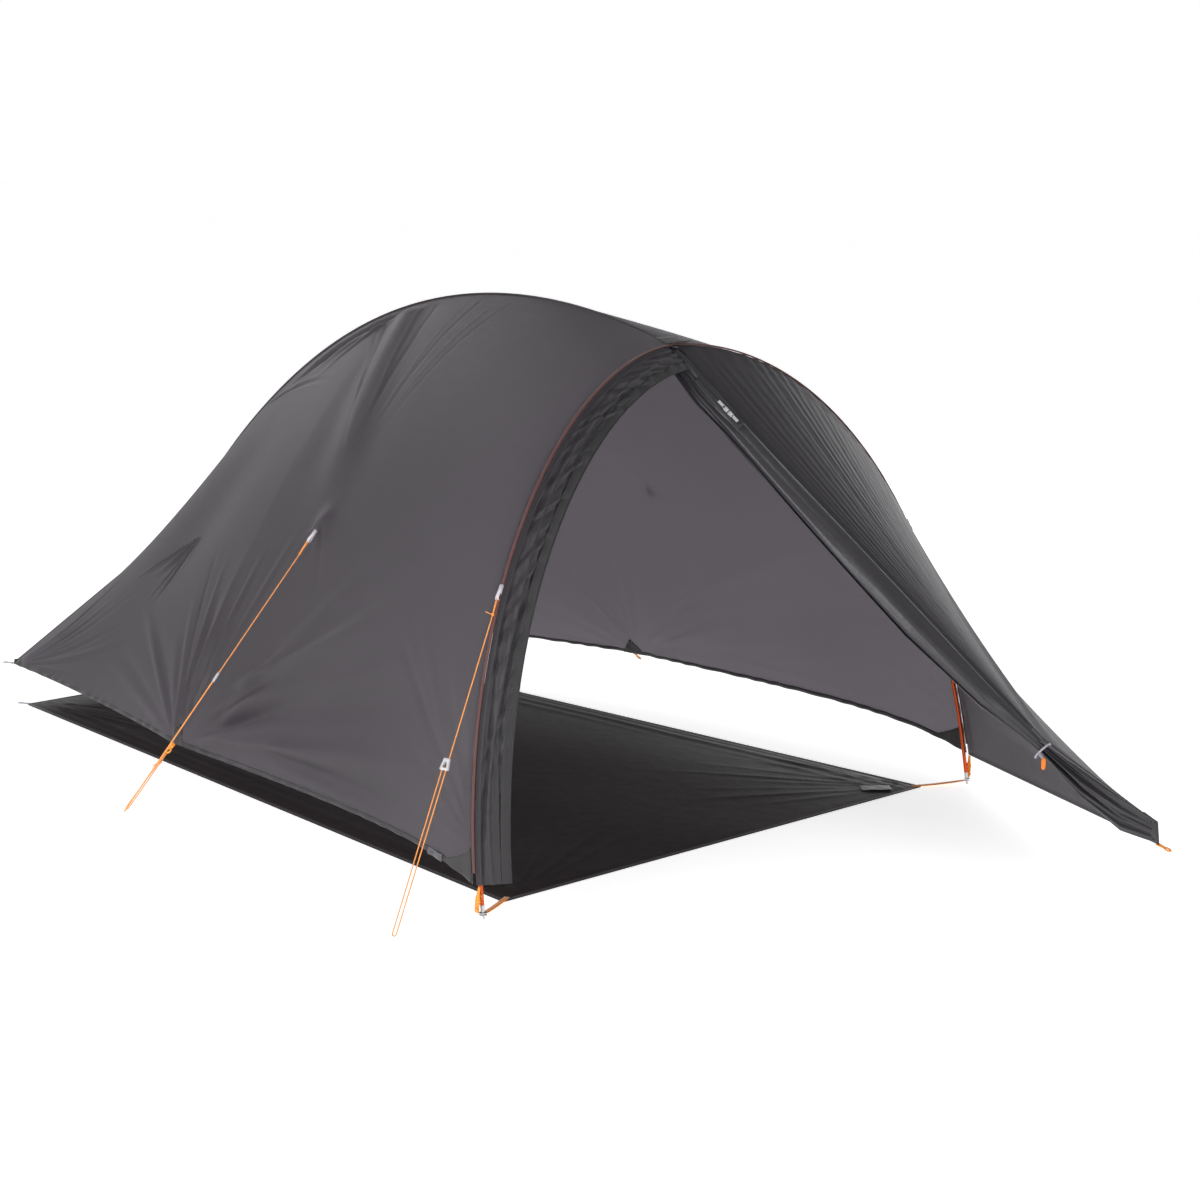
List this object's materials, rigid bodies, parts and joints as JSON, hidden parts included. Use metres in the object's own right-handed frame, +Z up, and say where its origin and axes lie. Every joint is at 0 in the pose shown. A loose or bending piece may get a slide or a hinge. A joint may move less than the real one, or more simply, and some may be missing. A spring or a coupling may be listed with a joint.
{
  "type": "two-person pole tent",
  "caption": "Light ridge-pole tent with a curved fly, an arched front, one rolled-back door, side guylines and a tapering groundsheet",
  "frame": {"origin": "on the ground under the middle of the tent, half way along its length", "axes": "+X to the right of somebody who looks in from the door, +Y from the door to the back, +Z up"},
  "size_m": [1.7455, 3.2731, 1.1779],
  "materials": {
    "fly_cloth": "satin",
    "groundsheet_cloth": "satin",
    "orange_webbing": "matte",
    "grey_webbing": "matte",
    "guy_cord": "matte",
    "seam_piping": "matte",
    "anodised_pole": "satin",
    "bare_aluminium": "satin",
    "hub_plastic": "satin",
    "clear_grey_plastic": "satin",
    "zip_metal": "satin",
    "zip_coil": "satin",
    "shock_cord": "matte",
    "orange_toggle": "satin",
    "tag_cloth": "matte"
  },
  "bodies": {
    "tent": {"arch_piping": "seam_piping", "door_tail": "fly_cloth", "door_tie_loop": "grey_webbing", "door_zip_chain": "zip_coil", "door_zip_head": "zip_coil", "fly_left_panel": "fly_cloth", "fly_rear_panel": "fly_cloth", "fly_right_panel": "fly_cloth", "fly_strap_ladders": "orange_webbing", "front_left_fly_strap": "orange_webbing", "front_left_guy_tab": "grey_webbing", "front_left_guyline": "guy_cord", "front_left_guyline_return": "guy_cord", "front_left_leg_section_1": "anodised_pole", "front_left_leg_section_2": "anodised_pole", "front_left_leg_section_3": "anodised_pole", "front_left_leg_section_4": "anodised_pole", "front_right_fly_strap": "orange_webbing", "front_right_guy_tab": "grey_webbing", "front_right_leg_section_1": "anodised_pole", "front_right_leg_section_2": "anodised_pole", "front_right_leg_section_3": "anodised_pole", "front_right_leg_section_4": "anodised_pole", "groundsheet": "groundsheet_cloth", "groundsheet_patch": "tag_cloth", "hem_tag": "tag_cloth", "left_side_stake_cord": "guy_cord", "left_side_stake_tab": "orange_webbing", "middle_left_guy_tab": "grey_webbing", "middle_left_guyline": "guy_cord", "middle_left_guyline_return": "guy_cord", "middle_right_guy_tab": "grey_webbing", "pole_ferrules": "bare_aluminium", "pole_hub": "hub_plastic", "pole_tips": "bare_aluminium", "rear_fly_tabs": "grey_webbing", "rear_sheet_tabs": "grey_webbing", "ridge_pole_section_1": "anodised_pole", "ridge_pole_section_2": "anodised_pole", "ridge_pole_section_3": "anodised_pole", "ridge_pole_section_4": "anodised_pole", "ridge_pole_section_5": "anodised_pole", "ridge_pole_section_6": "anodised_pole", "ridge_pole_section_7": "anodised_pole", "ridge_pole_section_8": "anodised_pole", "right_side_stake_tab": "orange_webbing", "rolled_door": "fly_cloth", "sheet_corner_straps": "orange_webbing", "shock_cords": "shock_cord", "strap_eyelets": "bare_aluminium", "tip_stake_loop": "orange_webbing", "vestibule_left_strip": "fly_cloth", "vestibule_right_panel": "fly_cloth"},
    "middle_left_tensioner": {"middle_left_tensioner": "clear_grey_plastic"},
    "front_left_tensioner": {"front_left_tensioner": "clear_grey_plastic"},
    "zip_slider_upper": {"zip_slider_upper": "zip_metal"},
    "zip_slider_lower": {"zip_slider_lower": "zip_metal"},
    "zip_pull_upper": {"zip_pull_upper": "zip_metal"},
    "zip_pull_lower": {"zip_pull_lower": "zip_metal"},
    "door_toggle": {"door_toggle": "orange_toggle"}
  },
  "joints": [
    {"name": "middle_tensioner_slide", "type": "slide", "parent": "tent", "child": "middle_left_tensioner", "axis": [-0.4621, 0.3336, -0.8217], "range_m": [-0.15, 0.15], "deforming": ["middle_left_guyline_return"]},
    {"name": "front_tensioner_slide", "type": "slide", "parent": "tent", "child": "front_left_tensioner", "axis": [-0.4584, -0.0986, -0.8832], "range_m": [-0.15, 0.15], "deforming": ["front_left_guyline_return"]},
    {"name": "zip_upper_slide", "type": "slide", "parent": "tent", "child": "zip_slider_upper", "axis": [0.1719, -0.7462, -0.6431], "range_m": [-0.08, 0]},
    {"name": "zip_lower_slide", "type": "slide", "parent": "tent", "child": "zip_slider_lower", "axis": [0.1719, -0.7462, -0.6431], "range_m": [0, 0.026]},
    {"name": "zip_pull_upper_turn", "type": "hinge", "parent": "zip_slider_upper", "child": "zip_pull_upper", "pos_m": [-0.01168, -0.66393, 0.96944], "axis": [0.683, -0.3801, 0.6237], "range_deg": [0, 150]},
    {"name": "zip_pull_lower_turn", "type": "hinge", "parent": "zip_slider_lower", "child": "zip_pull_lower", "pos_m": [-0.00928, -0.67438, 0.96043], "axis": [0.683, -0.3801, 0.6237], "range_deg": [-150, 0]},
    {"name": "door_toggle_swing", "type": "hinge", "parent": "tent", "child": "door_toggle", "pos_m": [0.17185, -1.40779, 0.30124], "axis": [0.7071, -0.7071, 0], "range_deg": [-35, 35]}
  ]
}
